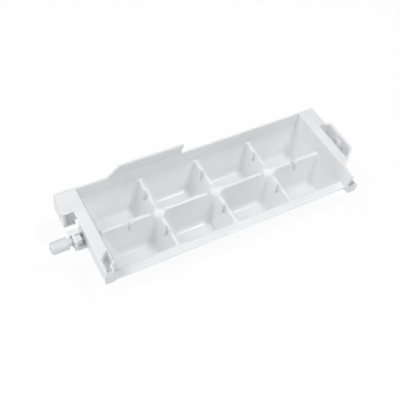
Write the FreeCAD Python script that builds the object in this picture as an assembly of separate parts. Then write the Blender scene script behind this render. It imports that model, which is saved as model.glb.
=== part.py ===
"""Twist tray of an automatic ice maker, as an assembly of separate solids.

One white moulding carries two rows of four tapered ice cavities.  It turns about a long
axis: a hollow journal stands out at the left end (-X) and a keyed drive bore sits in a
bracket at the right end (+X).  The journal's stem runs through a loose block in an open box
and snaps behind the left flange.  A temperature sensor, its foam pad and a push-on cover sit
in the gap under the right-hand middle cavities.

Millimetres, +Z up, cavities open upwards.  Shapes are drawn about the middle of the deck
(x = 0 on the middle wall, y = 0 on the centre ridge, z = 0 at the cavity mouths) and each
finished piece is then moved so that the origin is below the centre of the whole tray, on
the plane that the cavity bottoms stand on.
"""
import FreeCAD, Part
import os
from math import acos, cos, radians, sin, tan

Vec = FreeCAD.Vector

# Cavities
columns = 4
rows = 2
pitch_x = 54.0
pitch_y = 38.0
divider = 3.0
wall = 1.6
draft_deg = 15.0
cavity_depth = 28.0
mouth_corner = 2.5
bottom_corner = 6.5
bottom_fillet = 5.5
mouth_round = 1.3

# Water passages between cavities
slot_top_width = 7.4
slot_bottom_width = 1.8
slot_depth = 8.5
slot_offset = 0.8
slot_cheek = 2.0
slot_skin = 0.4
ridge_slot_depth = 9.5
ridge_slot_width = 2.4
ridge_mouth_width = 8.5
ridge_mouth_depth = 3.2
saddle_radius = 7.0
saddle_rim_round = 4.0
saddle_rim_rise = 0.06
saddle_depth = 5.5
saddle_post = 22.0
ridge_end_notch = 2.2
gate_mark_radius = 0.7
gate_mark_depth = 1.0
gate_mark_y = 8.5

# Rim, end walls and flanges
rim_height = 12.3
back_wall_lean_deg = 10.0
front_flange = 7.8
end_reach = 13.0
skirt_drop = 2.6
skirt_gap_y = 9.0
edge_round = 0.6
rim_corner_round = 5.5
end_wall_right = 2.3
corner_block_width = 7.5

# Raised lip on the back wall
lip_height = 10.1
lip_start_x = -82.0
lip_ramp = 10.4
lip_end_x = -12.2
lip_hook = 2.2

# Hoods behind the two ends
hood_front_y = 18.5
hood_reach_left = 9.0
hood_reach_right = 6.8
hood_drop = 5.0
hood_recess = 4.0
hood_rib = 1.0
hood_rib_setback = 1.2
hood_rib_gap = 2.3
hood_first_rib = 4.2

# Open pocket in the left flange, corner notch by the left wall
pocket_back_inner_y = -24.5
pocket_back_outer_y = -31.0
pocket_depth = 9.0
pocket_rim = 0.9
pocket_side_run = 2.5
notch_length = 6.5
notch_tip = 1.8
notch_reach = 2.6
notch_depth = 6.0

# Turning axis, journal and the open box that holds it
axis_rise = 1.0
journal_radius = 5.25
journal_length = 13.6
journal_chamfer = 1.4
journal_bore_radius = 1.6
neck_radius = 3.3
neck_length = 4.3
collar_size = 12.3
collar_thickness = 2.3
collar_round = 1.5
box_length = 6.6
box_sheet = 1.6
box_cap_depth = 4.6
box_cap_overhang = 2.1
box_front_lip = 4.0
key_size = 6.4
key_clearance = 0.05
stem_radius = 2.2
stem_block_length = 4.2
stem_block_clearance = 0.12
barb_clearance = 0.1
barb_reach = 0.5
barb_length = 3.0
barb_height = 2.2
barb_slit = 1.0

# Drive bracket at the right end
bracket_reach = 12.0
bracket_back_y = 17.7
bracket_back_splay = 3.9
bracket_front_y = -16.5
bracket_foot_y = -30.8
bracket_sheet = 2.0
bracket_corner = 8.0
bracket_drop = 9.0
bracket_top_gap = 0.5
drive_bore_radius = 4.0
drive_boss_radius = 7.0
drive_boss_height = 1.6
drive_boss_inset = 2.4
key_slot_width = 2.2
key_slot_reach = 5.8

# Stop lug under the front right corner
lug_reach = 13.0
lug_width = 6.8
lug_top = -3.2
lug_foot = -11.8
lug_heel = -4.6
lug_toe_run = 5.0
lug_wall = 1.5
lug_round = 1.0

# Sensor, pad and cover in the gap under the middle right cavities
sensor_radius = 3.0
sensor_length = 24.0
sensor_shell = 0.6
sensor_gap = 0.3
sensor_end_round = 0.8
bead_radius = 1.2
bead_from_end = 5.0
pad_side_gap = 0.28
cover_sheet = 1.4
cover_lift = 0.8
cover_side_height = 6.0
cover_gap = 0.4
web_thickness = 1.6
web_depth = 25.0
web_spacing = 30.0
tongue_width = 5.0
tongue_height = 9.0
tongue_gap = 0.08

# How far a cutting shape runs past the faces that it opens
past = 1.0

# Worked out from the sizes above
slope = tan(radians(draft_deg))
wall_flat = wall / cos(radians(draft_deg))
cell_length = pitch_x - divider
cell_width = pitch_y - divider
half_length = columns * pitch_x / 2 - divider / 2
half_width = rows * pitch_y / 2 - divider / 2
rim_x = half_length + rim_height * slope
rim_back_y = half_width + rim_height * tan(radians(back_wall_lean_deg))
outer_back_y = rim_back_y + wall
front_y = -half_width - front_flange
outer_x = half_length + end_reach
floor_z = -cavity_depth - wall
box_x = -outer_x - box_length
collar_x = box_x - collar_thickness
tip_x = collar_x - neck_length - journal_length
bracket_x = outer_x + bracket_reach
boss_x = bracket_x + drive_boss_height
sensor_x = pitch_x / 2
origin = Vec((tip_x + boss_x) / 2, (front_y + outer_back_y) / 2, floor_z)


def block(x0, x1, y0, y1, z0, z1):
    """Box between two corners."""
    return Part.makeBox(x1 - x0, y1 - y0, z1 - z0, Vec(x0, y0, z0))


def rounded_outline(corners):
    """Closed wire through (point, radius) corners, with an arc wherever the radius isn't 0."""
    count = len(corners)
    ends = []
    for i in range(count):
        point, radius = corners[i]
        before = (corners[i - 1][0] - point).normalize()
        after = (corners[(i + 1) % count][0] - point).normalize()
        if radius == 0:
            ends.append((point, point, point))
            continue
        half = before.getAngle(after) / 2
        setback = radius / tan(half)
        middle = (before + after).normalize()
        centre = point + middle * (radius / sin(half))
        ends.append((point + before * setback, centre - middle * radius, point + after * setback))
    edges = []
    for i in range(count):
        start, mid, stop = ends[i]
        if (start - stop).Length > 1e-6:
            edges.append(Part.Arc(start, mid, stop).toShape())
        following = ends[(i + 1) % count][0]
        if (following - stop).Length > 1e-6:
            edges.append(Part.LineSegment(stop, following).toShape())
    return Part.Wire(edges)


def prism(plane, corners, low, high):
    """Extrude an outline of (u, v) or (u, v, radius) corners along the plane's normal."""
    def place(u, v):
        if plane == "yz":
            return Vec(low, u, v)
        if plane == "xz":
            return Vec(u, low, v)
        return Vec(u, v, low)

    along = {"yz": Vec(1, 0, 0), "xz": Vec(0, 1, 0), "xy": Vec(0, 0, 1)}[plane]
    outline = []
    for corner in corners:
        radius = corner[2] if len(corner) > 2 else 0
        outline.append((place(corner[0], corner[1]), radius))
    return Part.Face(rounded_outline(outline)).extrude(along * (high - low))


def rectangle(length, width, radius, z):
    """Rounded rectangle round the Z axis."""
    a = length / 2
    b = width / 2
    points = [Vec(-a, -b, z), Vec(a, -b, z), Vec(a, b, z), Vec(-a, b, z)]
    return rounded_outline([(point, radius) for point in points])


def cup(length, width, depth, corner, low_corner, fillet):
    """Tapered cup block with rounded upright corners and a rounded bottom edge."""
    inset = 2 * depth * slope
    top = rectangle(length, width, corner, 0)
    bottom = rectangle(length - inset, width - inset, low_corner, -depth)
    solid = Part.makeLoft([top, bottom], True, True)
    low_edges = [e for e in solid.Edges if e.BoundBox.ZMax < -depth + 0.001]
    return solid.makeFillet(fillet, low_edges)


def cell_centres():
    """Middle of each cavity in the deck plane."""
    return [
        Vec((i - (columns - 1) / 2) * pitch_x, (j - (rows - 1) / 2) * pitch_y, 0)
        for i in range(columns)
        for j in range(rows)
    ]


def divider_lines():
    """X of each wall between neighbouring cavities of a row."""
    return [(i - columns / 2) * pitch_x for i in range(1, columns)]


def moved(shape, offset):
    copy = shape.copy()
    copy.translate(offset)
    return copy


def cavities():
    """All cavity hollows as one shape."""
    cell = cup(cell_length, cell_width, cavity_depth, mouth_corner, bottom_corner, bottom_fillet)
    cells = [moved(cell, centre) for centre in cell_centres()]
    return cells[0].fuse(cells[1:])


def cavity_shells():
    """Outer forms of the cavity walls, one cup per cavity."""
    shell = cup(
        cell_length + 2 * wall_flat,
        cell_width + 2 * wall_flat,
        cavity_depth + wall,
        mouth_corner + wall,
        bottom_corner + wall,
        bottom_fillet + wall,
    )
    return [moved(shell, centre) for centre in cell_centres()]


def slot_places():
    """Where each half wall has its recess, as (x, y) pairs."""
    spots = []
    for x in divider_lines():
        for j in range(rows):
            y = (j - (rows - 1) / 2) * (pitch_y + 2 * slot_offset)
            spots.append((x, y))
    return spots


def ridge_slot_places():
    """X of the slots across the centre ridge, in the first and last columns."""
    last = (columns - 1) / 2 * pitch_x
    return [-last, last]


def slot_outline(middle):
    """V-shaped outline of the recess in a wall, open at the deck."""
    wide = slot_top_width / 2
    narrow = slot_bottom_width / 2
    return [
        (middle - wide, 0),
        (middle - wide, past),
        (middle + wide, past),
        (middle + wide, 0),
        (middle + narrow, -slot_depth),
        (middle - narrow, -slot_depth),
    ]


def ridge_slot_outline(middle):
    """Funnel-shaped outline of the notch through the ridge."""
    wide = ridge_mouth_width / 2
    narrow = ridge_slot_width / 2
    return [
        (middle - wide, 0),
        (middle - wide, past),
        (middle + wide, past),
        (middle + wide, 0),
        (middle + narrow, -ridge_mouth_depth),
        (middle + narrow, -ridge_slot_depth),
        (middle - narrow, -ridge_slot_depth),
        (middle - narrow, -ridge_mouth_depth),
    ]


def web_outline(middle, top_width, bottom_width, depth):
    """Outline of the solid web behind a recess or notch."""
    wide = top_width / 2 + slot_cheek
    narrow = bottom_width / 2 + slot_cheek
    low = -depth - wall
    return [
        (middle - wide, -edge_round),
        (middle + wide, -edge_round),
        (middle + narrow, low),
        (middle - narrow, low),
    ]


def slot_reach(depth):
    """Half the thickness of the wall between two cavities at the foot of a notch."""
    return divider / 2 + depth * slope + wall


def passage_webs():
    """Solid webs behind the recesses, notches and saddles, so no water reaches the gaps below."""
    webs = []
    reach = slot_reach(slot_depth)
    for x, y in slot_places():
        outline = web_outline(y, slot_top_width, slot_bottom_width, slot_depth)
        webs.append(prism("yz", outline, x - reach, x + reach))
    reach = slot_reach(ridge_slot_depth)
    for x in ridge_slot_places():
        outline = web_outline(x, ridge_mouth_width, ridge_slot_width, ridge_slot_depth)
        webs.append(prism("xz", outline, -reach, reach))
    half = saddle_post / 2
    for x in divider_lines():
        low = -saddle_depth - 2 * wall
        webs.append(block(x - half, x + half, -half, half, low, -edge_round))
    return webs


def saddle_cutter(x):
    """Bowl with a softly turned rim, round the crossing of the walls at x."""
    reach = saddle_radius + saddle_rim_round
    lean = acos((reach - saddle_depth - saddle_rim_rise) / reach)
    rim = acos((saddle_rim_round - saddle_rim_rise) / saddle_rim_round)

    def bowl(angle):
        return Vec(x + saddle_radius * sin(angle), 0, saddle_radius * (1 - cos(angle)) - saddle_depth)

    def turn(angle):
        across = reach * sin(lean) - saddle_rim_round * sin(angle)
        return Vec(x + across, 0, saddle_rim_round * (cos(angle) - 1) + saddle_rim_rise)

    lip = turn(rim)
    edges = [
        Part.Arc(bowl(0), bowl(lean / 2), bowl(lean)).toShape(),
        Part.Arc(bowl(lean), turn((lean + rim) / 2), lip).toShape(),
        Part.makeLine(lip, Vec(lip.x, 0, past)),
        Part.makeLine(Vec(lip.x, 0, past), Vec(x, 0, past)),
        Part.makeLine(Vec(x, 0, past), bowl(0)),
    ]
    return Part.Face(Part.Wire(edges)).revolve(Vec(x, 0, 0), Vec(0, 0, 1), 360)


def passage_cuts():
    """Recesses in the left faces of the walls, notches in the ridge, saddles and the gate mark."""
    cuts = []
    reach = slot_reach(slot_depth)
    for x, y in slot_places():
        cuts.append(prism("yz", slot_outline(y), x - reach, x - slot_skin))
    reach = slot_reach(ridge_slot_depth)
    for x in ridge_slot_places():
        cuts.append(prism("xz", ridge_slot_outline(x), -reach, reach))
    for x in divider_lines():
        cuts.append(saddle_cutter(x))
    end = -half_length - edge_round
    cuts.append(block(end, end + ridge_end_notch, -reach, reach, -ridge_end_notch, edge_round))
    first = divider_lines()[0]
    mark = Vec(first, gate_mark_y, -gate_mark_depth)
    cuts.append(Part.makeCylinder(gate_mark_radius, gate_mark_depth + past, mark))
    return cuts


def deck():
    """Deck with its cavity shells, hollowed out, its mouths rounded over."""
    x = half_length + wall_flat
    sheet = block(-x, x, -half_width - wall_flat, half_width + wall_flat, -wall, 0)
    front = [
        (front_y, -wall, edge_round),
        (front_y, 0, edge_round),
        (-half_width + wall, 0),
        (-half_width + wall, -wall),
    ]
    flange = prism("yz", front, -outer_x + corner_block_width - wall, x)
    solid = sheet.fuse([flange] + cavity_shells() + passage_webs()).removeSplitter()
    solid = solid.cut(cavities())
    mouths = []
    for edge in solid.Edges:
        box = edge.BoundBox
        inside_x = abs(box.XMin) < half_length + 0.01 and abs(box.XMax) < half_length + 0.01
        inside_y = abs(box.YMin) < half_width + 0.01 and abs(box.YMax) < half_width + 0.01
        if abs(box.ZMin) < 0.001 and abs(box.ZMax) < 0.001 and inside_x and inside_y:
            mouths.append(edge)
    return solid.makeFillet(mouth_round, mouths)


def back_wall():
    """Leaning back wall with the raised lip and its hooked end."""
    foot = mouth_round + wall
    foot_y = half_width - foot * slope
    outline = [
        (foot_y, -foot),
        (half_width, 0),
        (rim_back_y, rim_height, edge_round),
        (outer_back_y, rim_height, edge_round),
        (half_width + wall_flat, 0),
        (half_width + wall_flat - foot * slope, -foot),
    ]
    x = half_length + wall_flat
    wall_solid = prism("yz", outline, -x, x)
    top = rim_height + lip_height
    face = [
        (lip_start_x, rim_height, 0),
        (lip_start_x + lip_ramp, top, 2 * edge_round),
        (lip_end_x, top, edge_round),
        (lip_end_x - lip_hook, rim_height, 0),
        (lip_end_x - lip_hook, rim_height - 2 * wall, 0),
        (lip_start_x, rim_height - 2 * wall, 0),
    ]
    lip = prism("xz", face, rim_back_y, outer_back_y)
    return [wall_solid, lip]


def end_wall_outline(side, thickness):
    """Cross-section of a drafted end wall, from its foot in the deck up to the rim."""
    foot = mouth_round + wall
    return [
        (side * (half_length - foot * slope), -foot),
        (side * half_length, 0),
        (side * rim_x, rim_height, edge_round),
        (side * (rim_x + thickness), rim_height, edge_round),
        (side * (half_length + thickness), 0),
        (side * (half_length + thickness), -foot),
    ]


def flange_outline(side):
    """Cross-section of an end flange: top sheet and outer skirt."""
    inner = rim_x + wall / 2
    return [
        (side * inner, rim_height),
        (side * outer_x, rim_height, 2 * edge_round),
        (side * outer_x, -skirt_drop),
        (side * (outer_x - wall), -skirt_drop),
        (side * (outer_x - wall), rim_height - wall),
        (side * inner, rim_height - wall),
    ]


def hood(side, reach):
    """Hollow hood behind an end flange, open to the front and below."""
    near = outer_x - wall / 2
    far = outer_x + reach
    xs = sorted([side * near, side * far])
    body = block(xs[0], xs[1], hood_front_y, outer_back_y, -hood_drop, rim_height)
    top = [e for e in body.Edges
           if abs(e.BoundBox.ZMin - rim_height) < 0.001 and abs(e.CenterOfMass.x - side * far) < 0.001]
    body = body.makeFillet(2 * edge_round, top)
    xs = sorted([side * (near - wall), side * (far - wall)])
    hollow = block(xs[0], xs[1], hood_front_y - past, outer_back_y - wall,
                   -hood_drop - past, rim_height - wall)
    return body.cut(hollow)


def hood_partition():
    """Upright sheet, floor and two ribs that close the left hood a little way in."""
    near = -outer_x + wall / 2
    far = -outer_x - hood_reach_left + wall / 2
    y = hood_front_y + hood_recess
    pieces = [
        block(far, -half_length - wall / 2, y, y + wall, -hood_drop, rim_height - wall / 2),
        block(far, near, hood_front_y, y + wall / 2, -hood_drop, -hood_drop + wall),
    ]
    for number in range(2):
        x = -outer_x - hood_first_rib - number * hood_rib_gap
        pieces.append(block(x - hood_rib / 2, x + hood_rib / 2, hood_front_y + hood_rib_setback,
                            y + wall / 2, -hood_drop + wall / 2, rim_height - wall / 2))
    return pieces


def left_end():
    """Journal end: drafted wall, flange with an open pocket, skirt, front corner and hood."""
    wall_front = -half_width - wall
    wall_solid = prism("xz", end_wall_outline(-1, wall), wall_front, outer_back_y)
    flange = prism("xz", flange_outline(-1), front_y, outer_back_y)
    inner = half_length + wall / 2
    corner_x = -outer_x + corner_block_width
    front = block(-outer_x, corner_x, front_y, wall_front, -skirt_drop, rim_height)
    back = block(-outer_x, -inner, outer_back_y - wall, outer_back_y, -skirt_drop, rim_height)
    pocket_wall_y = pocket_back_inner_y + wall
    pocket_floor = rim_height - pocket_depth
    filler = block(-outer_x + wall / 2, -inner, wall_front, pocket_wall_y, pocket_floor - wall, rim_height)
    pocket = prism("xy", [
        (-outer_x + wall, pocket_back_outer_y, edge_round),
        (-rim_x - pocket_rim, pocket_back_inner_y, edge_round),
        (-rim_x - pocket_rim, wall_front + pocket_side_run),
        (corner_x - wall, wall_front),
        (corner_x - wall, front_y + wall, edge_round),
        (-outer_x + wall, front_y + wall, edge_round),
    ], pocket_floor, rim_height + past)
    overhang = block(corner_x, 0, front_y - past, wall_front, 0, rim_height + past)
    skirt_gap = block(-outer_x - past, -outer_x + wall, skirt_gap_y, outer_back_y - wall,
                      -skirt_drop - past, rim_height - wall)
    hood_pieces = [hood(-1, hood_reach_left)] + hood_partition()
    solid = wall_solid.fuse([flange.cut([overhang, skirt_gap]), front, back, filler] + hood_pieces)
    solid = solid.cut(pocket)
    return solid.cut(front_corner_cutter(-outer_x - past, corner_x + past))


def front_corner_cutter(x0, x1):
    """Rounds the upper front corner of an end, seen from the side."""
    y = front_y
    z = rim_height
    outline = [(y - past, z + past), (y + rim_corner_round, z + past), (y + rim_corner_round, z)]
    outline += [(y, z, rim_corner_round), (y, z - rim_corner_round), (y - past, z - rim_corner_round)]
    return prism("yz", outline, x0, x1)


def right_end():
    """Drive end: thick end wall, flange cut back at an angle, skirt and shallow hood."""
    wall_solid = prism("xz", end_wall_outline(1, end_wall_right), front_y, outer_back_y)
    flange = prism("xz", flange_outline(1), bracket_foot_y, outer_back_y)
    foot_x = rim_x + end_wall_right
    corner = prism("xy", [
        (foot_x, bracket_foot_y),
        (foot_x, bracket_foot_y - past),
        (bracket_x, bracket_foot_y - past),
        (bracket_x, bracket_front_y),
    ], -skirt_drop - past, rim_height + past)
    inner = half_length + wall / 2
    back = block(inner, outer_x, outer_back_y - wall, outer_back_y, -skirt_drop, rim_height)
    plate = block(outer_x - wall, outer_x, bracket_front_y, bracket_back_y, -bracket_drop, 0)
    return [wall_solid, flange.cut(corner), back, plate, hood(1, hood_reach_right)]


def basin():
    """Room above the deck, between the two drafted end walls."""
    outline = [
        (-half_length, 0),
        (-rim_x, rim_height),
        (-rim_x, 2 * rim_height),
        (rim_x, 2 * rim_height),
        (rim_x, rim_height),
        (half_length, 0),
    ]
    return prism("xz", outline, front_y - past, half_width)


def bracket():
    """Hoop standing out at the drive end, with the keyed drive bore on the axis."""
    top = rim_height - bracket_top_gap
    back_x = outer_x - wall
    back_y = bracket_back_y + bracket_back_splay
    foot = Vec(half_length + wall / 2, bracket_foot_y)
    corner = Vec(bracket_x, bracket_front_y)
    run = (corner - Vec(rim_x + end_wall_right, bracket_foot_y)).normalize()
    foot = corner - run * ((corner.x - foot.x) / run.x)
    inner_foot = foot + Vec(-run.y, run.x) * bracket_sheet
    inner_x = bracket_x - bracket_sheet
    inner_y = inner_foot.y + (inner_x - inner_foot.x) * run.y / run.x
    outline = [
        (back_x, back_y),
        (bracket_x, bracket_back_y, edge_round),
        (corner.x, corner.y, bracket_corner),
        (foot.x, foot.y),
        (inner_foot.x, inner_foot.y),
        (inner_x, inner_y, bracket_corner - bracket_sheet),
        (inner_x, bracket_back_y - bracket_sheet, edge_round),
        (back_x, back_y - bracket_sheet),
    ]
    body = prism("xy", outline, -bracket_drop, top)
    along = Vec(1, 0, 0)
    inside = Vec(inner_x - drive_boss_inset, 0, axis_rise)
    depth = boss_x - inside.x
    boss = Part.makeCylinder(drive_boss_radius, depth, inside, along)
    start = inside - along * past
    bore = Part.makeCylinder(drive_bore_radius, depth + 2 * past, start, along)
    half = key_slot_width / 2
    keys = block(start.x, boss_x + past, -half, half, axis_rise - key_slot_reach, axis_rise + key_slot_reach)
    return body.fuse(boss).cut(bore.fuse(keys))


def journal_box():
    """Collar plate and open-topped box that hold the journal at the left end."""
    half = collar_size / 2
    low = axis_rise - half
    high = axis_rise + half
    inner_x = -outer_x + wall / 2
    collar = prism("yz", [
        (-half, low, collar_round),
        (half, low, collar_round),
        (half, high, edge_round),
        (-half, high, collar_round),
    ], collar_x, box_x)
    pieces = [
        block(collar_x - box_cap_overhang, inner_x, half - box_cap_depth, half, high - box_sheet, high),
        block(box_x, inner_x, half - box_sheet, half, low, high),
        block(box_x, inner_x, -half, half, low, low + box_sheet),
        block(box_x, inner_x, -half, -half + box_sheet, low, low + box_front_lip),
        block(-outer_x, -outer_x + wall, -half, half, low, rim_height - wall / 2),
    ]
    hole = key_size / 2 + key_clearance
    key = block(collar_x - past, box_x + past, -hole, hole, axis_rise - hole, axis_rise + hole)
    return collar.fuse(pieces).cut(key)


def stem_hole():
    """Hole through the left skirt for the journal's snap stem."""
    start = Vec(-outer_x - past, 0, axis_rise)
    return Part.makeCylinder(stem_radius + key_clearance, wall + 2 * past, start, Vec(1, 0, 0))


def stop_lug():
    """Small pocket under the front right corner that meets the frame's stop."""
    x0 = half_length + wall
    x1 = half_length + lug_reach + wall
    outline = [
        (x0, -edge_round),
        (x0, lug_heel, lug_round),
        (x0 + lug_toe_run, lug_foot, lug_round),
        (x1, lug_foot, 2 * lug_round),
        (x1, lug_top, edge_round),
        (x0 + end_wall_right, lug_top),
        (x0 + end_wall_right, -edge_round),
    ]
    body = prism("xz", outline, front_y, front_y + lug_width)
    hollow = prism("xz", [
        (x0 + lug_toe_run, lug_top + past),
        (x0 + lug_toe_run, lug_foot + lug_wall + lug_round, lug_round),
        (x0 + lug_toe_run + lug_round, lug_foot + lug_wall),
        (x1 - lug_wall, lug_foot + lug_wall, lug_round),
        (x1 - lug_wall, lug_top + past),
    ], front_y + lug_wall, front_y + lug_width - lug_wall)
    return body.cut(hollow)


def sensor_webs():
    """Two cross webs under the ridge, between which the sensor and its cover sit."""
    webs = []
    reach = divider / 2 + web_depth * slope
    for side in (-1, 1):
        middle = sensor_x + side * web_spacing / 2
        webs.append(block(middle - web_thickness / 2, middle + web_thickness / 2,
                          -reach, reach, -web_depth, -wall / 2))
    return webs


def corner_notch():
    """Small three-sided recess where the left wall meets the front flange."""
    x = -half_length
    y = -half_width
    high = y + mouth_corner
    outline = [(x, high), (x + notch_length, high), (x + notch_tip, y - notch_reach)]
    cut = prism("xy", outline, -notch_depth, edge_round)
    web = block(x - wall / 2, x + notch_length, y - notch_reach - wall, high,
                -notch_depth - wall, -edge_round)
    return web, cut


def ice_tray():
    """The whole white moulding."""
    notch_web, notch_cut = corner_notch()
    extras = back_wall() + [left_end()] + right_end() + [bracket(), journal_box(), stop_lug(), notch_web]
    added = extras[0].fuse(extras[1:] + sensor_webs()).cut([basin(), cavities()])
    solid = deck().fuse(added)
    solid = solid.cut(passage_cuts() + [notch_cut, stem_hole()])
    return solid.removeSplitter()


def journal_shaft():
    """Hollow journal with a neck, a square key, and a stem with a split snap end."""
    back = Vec(1, 0, 0)
    full = journal_length + neck_length
    tube = Part.makeCylinder(journal_radius, journal_length, Vec(tip_x, 0, axis_rise), back)
    tip = [e for e in tube.Edges if abs(e.BoundBox.XMax - tip_x) < 0.001]
    tube = tube.makeChamfer(journal_chamfer, tip)
    neck = Part.makeCylinder(neck_radius, full, Vec(tip_x + journal_chamfer + past, 0, axis_rise), back)
    neck = neck.cut(block(collar_x, collar_x + full, -collar_size, collar_size, -collar_size, collar_size))
    half = key_size / 2
    key = block(collar_x - past, box_x, -half, half, axis_rise - half, axis_rise + half)
    barb_x = -outer_x + wall + barb_clearance
    stem = Part.makeCylinder(stem_radius, barb_x + barb_length - box_x, Vec(box_x, 0, axis_rise), back)
    barbs = Part.makeCone(stem_radius + barb_reach, stem_radius - barb_reach, barb_length,
                          Vec(barb_x, 0, axis_rise), back)
    barbs = barbs.common(block(barb_x, barb_x + barb_length, -collar_size, collar_size,
                               axis_rise - barb_height / 2, axis_rise + barb_height / 2))
    slit = block(box_x + stem_block_length, barb_x + barb_length + past, -barb_slit / 2, barb_slit / 2,
                 axis_rise - collar_size, axis_rise + collar_size)
    start = Vec(tip_x - past, 0, axis_rise)
    bore = Part.makeCylinder(journal_bore_radius, full + collar_thickness, start, back)
    return tube.fuse([neck, key, stem, barbs]).cut([slit, bore]).removeSplitter()


def stem_block():
    """Bored block that slides into the box at a slant, before the journal's stem goes through it."""
    half = collar_size / 2 - box_sheet - stem_block_clearance
    low = axis_rise - half
    high = axis_rise + half
    under_lip = box_front_lip - box_sheet
    under_cap = box_cap_depth - box_sheet
    x0 = box_x + stem_block_clearance
    x1 = x0 + stem_block_length
    body = prism("yz", [
        (-half, low + under_lip),
        (-half + under_lip, low),
        (half, low),
        (half, high - under_cap),
        (half - under_cap, high),
        (-half, high),
    ], x0, x1)
    start = Vec(x0 - past, 0, axis_rise)
    return body.cut(Part.makeCylinder(stem_radius + key_clearance, x1 - x0 + 2 * past, start, Vec(1, 0, 0)))


def sensor_axis_z():
    """Height at which the round sensor rests between the sloping cavity shells."""
    side_gap = divider / 2 - wall_flat
    reach = (sensor_radius + sensor_gap) / cos(radians(draft_deg))
    return -(reach - side_gap) / slope


def sensor_parts():
    """Sensor capsule, its bead and the potting round the bead."""
    z = sensor_axis_z()
    x0 = sensor_x - sensor_length / 2
    along = Vec(1, 0, 0)
    outside = Part.makeCylinder(sensor_radius, sensor_length, Vec(x0, 0, z), along)
    outside = outside.makeFillet(sensor_end_round, [e for e in outside.Edges if e.BoundBox.XLength < 0.001])
    inner = sensor_radius - sensor_shell
    core = Part.makeCylinder(inner, sensor_length - sensor_shell, Vec(x0 + sensor_shell, 0, z), along)
    bead = Part.makeSphere(bead_radius, Vec(x0 + bead_from_end, 0, z))
    return outside.cut(core), core.common(outside).cut(bead), bead


def cover_floor_z():
    """Inner face of the cover's floor."""
    return floor_z + cover_lift + cover_sheet


def cover_side_half():
    """Half the width over the cover's two side walls."""
    return gap_half_width(cover_floor_z() + cover_side_height) - cover_gap


def sensor_pad():
    """Foam block that presses the sensor up between the cavities."""
    half = cover_side_half() - cover_sheet - pad_side_gap
    low = cover_floor_z()
    pad = block(sensor_x - sensor_length / 2, sensor_x + sensor_length / 2, -half, half, low, sensor_axis_z())
    z = sensor_axis_z()
    groove = Part.makeCylinder(
        sensor_radius, sensor_length + 2 * past, Vec(sensor_x - sensor_length / 2 - past, 0, z), Vec(1, 0, 0))
    top = z - sensor_radius / 2
    pad = pad.cut(groove)
    return pad.cut(block(sensor_x - pitch_x, sensor_x + pitch_x, -pitch_y, pitch_y, top, 0))


def gap_half_width(z):
    """Half the free width between the two rows of cavity shells at height z."""
    return divider / 2 - wall_flat - z * slope


def sensor_cover():
    """Channel-shaped cover with a tongue at each end that grips a cross web."""
    low = floor_z + cover_lift
    high = low + cover_sheet
    half = gap_half_width(high) - cover_gap
    tongue_x = web_spacing / 2 + web_thickness / 2 + tongue_gap
    end_x = tongue_x + cover_sheet
    floor = block(sensor_x - end_x, sensor_x + end_x, -half, half, low, high)
    pieces = []
    side_top = high + cover_side_height
    side_half = cover_side_half()
    inside = web_spacing / 2 - web_thickness / 2 - cover_gap
    for side in (-1, 1):
        ys = sorted([side * side_half, side * (side_half - cover_sheet)])
        pieces.append(block(sensor_x - inside, sensor_x + inside, ys[0], ys[1], low, side_top))
        xs = sorted([sensor_x + side * tongue_x, sensor_x + side * end_x])
        pieces.append(block(xs[0], xs[1], -tongue_width / 2, tongue_width / 2, low, low + tongue_height))
    return floor.fuse(pieces).removeSplitter()


def write(name, shape):
    """Move a finished piece into the tray's own frame and export it."""
    placed = moved(shape, origin * -1)
    if len(placed.Solids) == 1:
        placed = placed.Solids[0]
    placed.exportStep("parts/" + name + ".step")
    box = placed.BoundBox
    size = "%.1f x %.1f x %.1f" % (box.XLength, box.YLength, box.ZLength)
    print(name, placed.isValid(), len(placed.Solids), size, "volume %.0f" % placed.Volume)


os.makedirs("parts", exist_ok=True)
capsule, potting, bead = sensor_parts()
write("ice_tray", ice_tray())
write("journal_shaft", journal_shaft())
write("stem_block", stem_block())
write("sensor_capsule", capsule)
write("sensor_potting", potting)
write("thermistor_bead", bead)
write("sensor_pad", sensor_pad())
write("sensor_cover", sensor_cover())
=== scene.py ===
# %% [markdown]
# # A white ice-maker tray in a light tent
#
# The object is one white plastic moulding: two rows of tapered ice cavities with a round
# journal at one end and a drive bracket at the other.  Its shape comes finished from the
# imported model, so this script is about three things that a shape alone doesn't have: a
# camera that looks from the right place, plastic that looks moulded, and light that shows
# white on white.

import math

import bpy
from mathutils import Matrix, Vector

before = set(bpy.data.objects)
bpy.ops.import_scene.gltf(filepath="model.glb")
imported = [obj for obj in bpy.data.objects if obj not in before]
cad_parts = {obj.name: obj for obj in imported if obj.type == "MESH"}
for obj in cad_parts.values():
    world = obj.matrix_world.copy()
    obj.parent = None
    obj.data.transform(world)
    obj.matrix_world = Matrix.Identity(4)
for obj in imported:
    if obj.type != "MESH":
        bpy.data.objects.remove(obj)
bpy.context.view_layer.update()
print("pieces:", sorted(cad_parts))

# %% [markdown]
# ## The camera
#
# A product shot like this is taken from above one corner with a mildly long lens, so that
# the far row isn't much smaller than the near one.  One could aim a camera by eye, but with
# a regular object it can be worked out: the corners of the eight cavities lie on a known
# grid, and only one camera place, lens and turn puts them all where the photograph has
# them.  The camera is described here the way a tripod is: which way round the tray it
# stands, how steeply it looks down, how far it leans sideways, and how far away it is.

# %% Camera
AZIMUTH = math.radians(-36.294)
ELEVATION = math.radians(52.052)
LEAN = math.radians(9.747)
AIM = Vector((-0.013241, -0.008864))
DISTANCE = 0.541423
DECK_MIDDLE = Vector((0.0066, 0.002016, 0.0296))
LENS = 57.31


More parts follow.
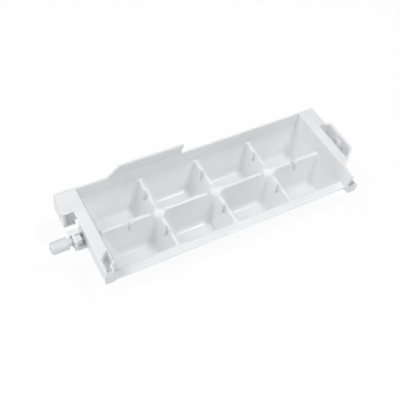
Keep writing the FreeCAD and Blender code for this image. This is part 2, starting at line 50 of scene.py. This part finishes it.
def camera_matrix():
    """Camera axes from the two angles, turned about the line of sight by the lean."""
    back = Vector((
        math.sin(AZIMUTH) * math.cos(ELEVATION),
        -math.cos(AZIMUTH) * math.cos(ELEVATION),
        math.sin(ELEVATION),
    ))
    level = Vector((math.cos(AZIMUTH), math.sin(AZIMUTH), 0))
    upright = back.cross(level)
    right = level * math.cos(LEAN) + upright * math.sin(LEAN)
    up = upright * math.cos(LEAN) - level * math.sin(LEAN)
    place = DECK_MIDDLE + right * AIM.x + up * AIM.y + back * DISTANCE
    rotation = Matrix((right, up, back)).transposed()
    return Matrix.Translation(place) @ rotation.to_4x4()


lens = bpy.data.cameras.new("camera")
lens.lens = LENS
lens.sensor_width = 36
lens.clip_start = 0.01
lens.clip_end = 20
camera = bpy.data.objects.new("camera", lens)
camera.matrix_world = camera_matrix()
bpy.context.collection.objects.link(camera)
bpy.context.scene.camera = camera
print("camera stands at", [round(v, 3) for v in camera.matrix_world.translation])

# %% [markdown]
# ## Tools for materials
#
# A colour picked on a screen is an sRGB value, but Blender mixes light in linear numbers,
# so each hex colour goes through the standard curve first.  The second helper adds one
# node, fills in its settings and plugs in its inputs, which keeps each material short
# enough to read as a recipe.


# %% Colour and node helpers
def linear(hex_colour):
    """sRGB hex to linear RGBA: below 0.04045 divide by 12.92, above it a 2.4 power curve."""
    values = [int(hex_colour[i:i + 2], 16) / 255 for i in (1, 3, 5)]
    return [v / 12.92 if v <= 0.04045 else ((v + 0.055) / 1.055) ** 2.4 for v in values] + [1.0]


def add_node(tree, kind, inputs=None, **settings):
    """One shader node: settings are its properties, inputs its socket values or links."""
    node = tree.nodes.new("ShaderNode" + kind)
    for name, value in settings.items():
        setattr(node, name, value)
    for name, value in (inputs or {}).items():
        socket = node.inputs[name]
        if isinstance(value, bpy.types.NodeSocket):
            tree.links.new(value, socket)
        else:
            socket.default_value = value
    return node


def new_material(name):
    """An empty node material and its surface output."""
    material = bpy.data.materials.new(name)
    material.use_nodes = True
    material.node_tree.nodes.clear()
    output = add_node(material.node_tree, "OutputMaterial")
    return material, material.node_tree, output


MM = 0.001
print("white paper is", [round(v, 3) for v in linear("#FFFFFF")])

# %% [markdown]
# ## Moulded polypropylene
#
# Ice trays are injection moulded from natural or white polypropylene, because it stays
# tough when it is twisted at minus eighteen.  The steel mould was polished, then dulled a
# little by use, so the plastic comes out satin: a soft highlight that follows the curved
# corners, and a very slight waviness called orange peel where the melt cooled.  White
# plastic is never one white either: it cools unevenly, and some places end up a touch
# denser than others.  The recipe is a near-white colour that drifts by a percent or two, a
# roughness that drifts with it, and two bumps, one for the orange peel a few millimetres
# across and one for the fine grain of the mould.  A Bevel node rounds the light on edges
# that a real mould never leaves sharp.
#
# The last ingredient is what makes a hollow in such a part look pale instead of black.
# Polypropylene this thin lets light through: hold a tray up to a window and the shadow of
# a finger shows.  A share of Translucent shader, mixed into the surface, passes light from
# the far side of each wall, so hoods, boxes and the backs of the cavities glow softly.


# %% Moulded plastic recipe
DRIFT_MM = 30
SMOOTHER = 0.04
ROUGHER = 0.05
PEEL_HEIGHT = 0.06 * MM


def moulded_plastic(name, pale, dense, roughness, peel_mm, grain_mm, grain_depth, edge_mm, through):
    """Satin plastic with orange peel and mould grain, letting a share of the light through."""
    material, tree, output = new_material(name)
    place = add_node(tree, "TexCoord").outputs["Object"]
    drift = add_node(tree, "TexNoise", {
        "Vector": place, "Scale": 1 / (DRIFT_MM * MM), "Detail": 3.0, "Roughness": 0.55})
    colour = add_node(tree, "ValToRGB", {"Fac": drift.outputs["Fac"]})
    colour.color_ramp.elements[0].position = 0.32
    colour.color_ramp.elements[0].color = linear(dense)
    colour.color_ramp.elements[1].position = 0.68
    colour.color_ramp.elements[1].color = linear(pale)
    gloss = add_node(tree, "MapRange", {
        "Value": drift.outputs["Fac"], "From Min": 0.3, "From Max": 0.7,
        "To Min": roughness - SMOOTHER, "To Max": roughness + ROUGHER,
    })
    soft_edge = add_node(tree, "Bevel", {"Radius": edge_mm * MM}, samples=6)
    peel = add_node(tree, "TexNoise", {"Vector": place, "Scale": 1 / (peel_mm * MM), "Detail": 2.0})
    waviness = add_node(tree, "Bump", {
        "Height": peel.outputs["Fac"], "Strength": 0.08, "Distance": PEEL_HEIGHT,
        "Normal": soft_edge.outputs["Normal"],
    })
    grain = add_node(tree, "TexNoise", {"Vector": place, "Scale": 1 / (grain_mm * MM), "Detail": 2.0})
    texture = add_node(tree, "Bump", {
        "Height": grain.outputs["Fac"], "Strength": 0.25, "Distance": grain_depth * MM,
        "Normal": waviness.outputs["Normal"],
    })
    surface = add_node(tree, "BsdfPrincipled", {
        "Base Color": colour.outputs["Color"], "Roughness": gloss.outputs["Result"],
        "IOR": 1.49, "Normal": texture.outputs["Normal"],
    })
    passing = add_node(tree, "BsdfTranslucent", {
        "Color": colour.outputs["Color"], "Normal": texture.outputs["Normal"]})
    blend = add_node(tree, "MixShader", {"Fac": through})
    tree.links.new(surface.outputs["BSDF"], blend.inputs[1])
    tree.links.new(passing.outputs["BSDF"], blend.inputs[2])
    tree.links.new(blend.outputs["Shader"], output.inputs["Surface"])
    return material


tray_plastic = moulded_plastic(
    "satin moulded polypropylene", "#F3F4F5", "#EFF0F1", 0.20, peel_mm=5, grain_mm=0.8,
    grain_depth=0.02, edge_mm=0.6, through=0.28)
cover_plastic = moulded_plastic(
    "spark-eroded polypropylene", "#ECEDEE", "#E6E7E9", 0.55, peel_mm=6, grain_mm=0.6,
    grain_depth=0.06, edge_mm=0.4, through=0.1)
print("plastics:", tray_plastic.name, "and", cover_plastic.name)

# %% [markdown]
# ## The journal's acetal
#
# The journal turns in a plain bearing for years without grease, so it is moulded from
# acetal, a slippery, slightly harder plastic.  It looks a shade greyer than polypropylene
# and shinier, and turning in the bearing polishes fine rings round it.  The rings run
# round the X axis, so a wave pattern in bands along X follows them.  Real rings are too
# fine to show, so they are drawn about 2.4 mm apart and very shallow.  At a scale of 1 the
# bands of Blender's wave texture are a twentieth of a full circle, pi / 10, apart.  The
# block that its stem runs through is acetal too.

# %% Journal material
RING_SPACING = 2.37 * MM
STAIN_PATCH = 8 * MM
journal_plastic, tree, output = new_material("polished acetal")
place = add_node(tree, "TexCoord").outputs["Object"]
stain = add_node(tree, "TexNoise", {"Vector": place, "Scale": 1 / STAIN_PATCH, "Detail": 3.0})
tone = add_node(tree, "ValToRGB", {"Fac": stain.outputs["Fac"]})
tone.color_ramp.elements[0].color = linear("#D3D6DA")
tone.color_ramp.elements[1].color = linear("#DCDFE3")
rings = add_node(tree, "TexWave", {
    "Vector": place, "Scale": math.pi / 10 / RING_SPACING, "Distortion": 0.6, "Detail": 1.0,
}, wave_type="BANDS", bands_direction="X")
edge = add_node(tree, "Bevel", {"Radius": 0.4 * MM}, samples=6)
polish = add_node(tree, "Bump", {
    "Height": rings.outputs["Fac"], "Strength": 0.15, "Distance": 0.02 * MM,
    "Normal": edge.outputs["Normal"],
})
surface = add_node(tree, "BsdfPrincipled", {
    "Base Color": tone.outputs["Color"], "Roughness": 0.30, "IOR": 1.48,
    "Normal": polish.outputs["Normal"],
})
tree.links.new(surface.outputs["BSDF"], output.inputs["Surface"])
print("journal:", journal_plastic.name)

# %% [markdown]
# ## What sits under the tray
#
# A temperature sensor hides between the two rows, pressed up by a block of foam and held
# by a cover.  Nobody sees it from above, but the tray gets turned over, so its pieces are
# finished too.  The foam is a closed-cell sheet cut into a block: pale grey, quite matt,
# with cells about a millimetre wide, which a Voronoi pattern draws well.  It is pale for a
# reason that only shows in a lit tray: the plastic above it lets light through, and dark
# foam would draw a grey shadow along the ridge.

# %% Foam
FOAM_CELL = 1.1 * MM
foam, tree, output = new_material("closed-cell foam")
place = add_node(tree, "TexCoord").outputs["Object"]
cells = add_node(tree, "TexVoronoi", {"Vector": place, "Scale": 1 / FOAM_CELL}, feature="F1")
shade = add_node(tree, "ValToRGB", {"Fac": cells.outputs["Distance"]})
shade.color_ramp.elements[0].color = linear("#CFD1D3")
shade.color_ramp.elements[1].color = linear("#DEDFE1")
pores = add_node(tree, "Bump", {
    "Height": cells.outputs["Distance"], "Strength": 0.6, "Distance": 0.2 * MM})
surface = add_node(tree, "BsdfPrincipled", {
    "Base Color": shade.outputs["Color"], "Roughness": 0.9, "IOR": 1.45,
    "Normal": pores.outputs["Normal"],
})
tree.links.new(surface.outputs["BSDF"], output.inputs["Surface"])
print("foam:", foam.name)

# %% [markdown]
# The capsule is ivory ABS with a fine eroded grain, the potting a brown epoxy that dries
# glossy with a faint cloudiness, and the bead in it a drop of dark glass.


# %% Sensor materials
def plain_gloss(name, dark, light, roughness, ior, patch_mm):
    """Smooth coloured material whose tone clouds from dark to light in patches."""
    material, tree, output = new_material(name)
    place = add_node(tree, "TexCoord").outputs["Object"]
    cloud = add_node(tree, "TexNoise", {"Vector": place, "Scale": 1 / (patch_mm * MM), "Detail": 3.0})
    tone = add_node(tree, "ValToRGB", {"Fac": cloud.outputs["Fac"]})
    tone.color_ramp.elements[0].color = linear(dark)
    tone.color_ramp.elements[1].color = linear(light)
    relief = add_node(tree, "Bump", {
        "Height": cloud.outputs["Fac"], "Strength": 0.1, "Distance": 0.05 * MM})
    surface = add_node(tree, "BsdfPrincipled", {
        "Base Color": tone.outputs["Color"], "Roughness": roughness, "IOR": ior,
        "Normal": relief.outputs["Normal"],
    })
    tree.links.new(surface.outputs["BSDF"], output.inputs["Surface"])
    return material


capsule_ivory = plain_gloss("moulded ivory ABS", "#DAD8D2", "#E2E0DB", 0.42, 1.53, 0.7)
epoxy = plain_gloss("brown epoxy potting", "#3A2A1A", "#4C3824", 0.18, 1.55, 2.5)
bead = plain_gloss("dark glass bead", "#3B160C", "#5A2413", 0.08, 1.52, 1.0)
print("sensor:", capsule_ivory.name, "+", epoxy.name, "+", bead.name)

# %% [markdown]
# ## Dressing the pieces
#
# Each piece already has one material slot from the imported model, so dressing it is one
# assignment.  The shapes themselves aren't touched.

# %% Assign materials
finishes = {
    "ice_tray": tray_plastic,
    "journal_shaft": journal_plastic,
    "stem_block": journal_plastic,
    "sensor_cover": cover_plastic,
    "sensor_pad": foam,
    "sensor_capsule": capsule_ivory,
    "sensor_potting": epoxy,
    "thermistor_bead": bead,
}
for node, material in finishes.items():
    for material_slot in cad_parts[node].material_slots:
        material_slot.material = material
    print(node, "->", material.name)

# %% [markdown]
# ## Floor and light
#
# White on white only reads when the light isn't even.  The trick of product photographers
# is to light from both sides and never from the camera.  Then a face turned left is bright,
# a face turned right is less bright, and a rounded corner that looks straight at the camera
# gets neither lamp, so it draws a dark line down the corner of each cavity.  Two more lamps
# fill in from the left and from the front, and the sky is almost dark, because an even sky
# would wash those lines out.  The upper right lamp is small: its reflection is the thin
# bright streak along the back of the cavity floors.  Only light that comes through a thin
# wall finds a white sky and a white floor behind it, which is the even glow of a tent.
#
# Light also has to bounce often.  White plastic gives back about nine parts in ten of what
# falls on it, so the light in a deep cavity has bounced many times before it fades, and
# Blender by itself stops after four.  Allowing twelve keeps the cavities pale to the bottom.
#
# The floor is white and, seen by the camera, is lifted almost to full white so that the
# tray stands free, while a faint trace of its shadow stays.  It lies a fifth of a
# millimetre under the tray, so that the two faces don't flicker into each other.

# %% Floor
FLOOR_LIFT = 0.92
FLOOR_HALF = 2.5
FLOOR_DROP = 0.2 * MM


def floor_material():
    """White floor: rays from the camera, a gloss or a see-through wall find it nearly full white."""
    material, tree, output = new_material("white sweep")
    paper = add_node(tree, "BsdfDiffuse", {"Color": linear("#F4F4F4")})
    glow = add_node(tree, "Emission", {"Color": linear("#FFFFFF"), "Strength": 1.0})
    rays = add_node(tree, "LightPath")
    seen = add_node(tree, "Math", {0: rays.outputs["Is Camera Ray"], 1: rays.outputs["Is Glossy Ray"]},
                    operation="MAXIMUM")
    through = add_node(tree, "Math", {0: seen.outputs[0], 1: rays.outputs["Is Transmission Ray"]},
                       operation="MAXIMUM")
    lift = add_node(tree, "Math", {0: through.outputs[0], 1: FLOOR_LIFT}, operation="MULTIPLY")
    mix = add_node(tree, "MixShader", {"Fac": lift.outputs[0]})
    tree.links.new(paper.outputs[0], mix.inputs[1])
    tree.links.new(glow.outputs[0], mix.inputs[2])
    tree.links.new(mix.outputs[0], output.inputs["Surface"])
    return material


corners = [(-FLOOR_HALF, -FLOOR_HALF, -FLOOR_DROP), (FLOOR_HALF, -FLOOR_HALF, -FLOOR_DROP),
           (FLOOR_HALF, FLOOR_HALF, -FLOOR_DROP), (-FLOOR_HALF, FLOOR_HALF, -FLOOR_DROP)]
floor_mesh = bpy.data.meshes.new("floor")
floor_mesh.from_pydata(corners, [], [(0, 1, 2, 3)])
floor_mesh.materials.append(floor_material())
floor = bpy.data.objects.new("floor", floor_mesh)
bpy.context.collection.objects.link(floor)
print("floor:", 2 * FLOOR_HALF, "m square")

# %% Sky and lamps
SKY = 0.04
DIFFUSE_BOUNCES = 12
ALL_BOUNCES = 24
# Each lamp is a name, a place in metres, the side of its square and its power in watts.
LAMPS = [
    ("upper left", (-0.60, 0.44, 1.07), 0.80, 7.3),
    ("upper right", (0.45, -0.19, 1.21), 0.28, 7.3),
    ("left", (-1.17, 0.10, 0.55), 0.80, 5.4),
    ("front", (0.17, -0.98, 0.84), 0.80, 5.4),
]

world = bpy.data.worlds.new("light tent")
world.use_nodes = True
world.node_tree.nodes.clear()
rays = add_node(world.node_tree, "LightPath")
seen = add_node(world.node_tree, "Math", {
    0: rays.outputs["Is Camera Ray"], 1: rays.outputs["Is Transmission Ray"]}, operation="MAXIMUM")
level = add_node(world.node_tree, "MapRange", {"Value": seen.outputs[0], "To Min": SKY, "To Max": 1.0})
sky = add_node(world.node_tree, "Background", {
    "Color": linear("#FFFFFF"), "Strength": level.outputs["Result"]})
sky_output = add_node(world.node_tree, "OutputWorld")
world.node_tree.links.new(sky.outputs[0], sky_output.inputs["Surface"])
bpy.context.scene.world = world


def soft_lamp(name, place, size, power):
    """Square area lamp at place, facing the middle of the tray."""
    lamp = bpy.data.lights.new(name, "AREA")
    lamp.size = size
    lamp.energy = power
    holder = bpy.data.objects.new(name, lamp)
    way = Vector(place)
    holder.matrix_world = Matrix.Translation(way) @ way.to_track_quat("Z", "Y").to_matrix().to_4x4()
    bpy.context.collection.objects.link(holder)


for name, place, size, power in LAMPS:
    soft_lamp(name, place, size, power)
bpy.context.scene.view_settings.view_transform = "Standard"
light_paths = bpy.context.scene.cycles
light_paths.diffuse_bounces = DIFFUSE_BOUNCES
light_paths.transmission_bounces = ALL_BOUNCES
light_paths.max_bounces = ALL_BOUNCES
print("sky", SKY, "and", len(LAMPS), "lamps,", sum(lamp[3] for lamp in LAMPS), "W")
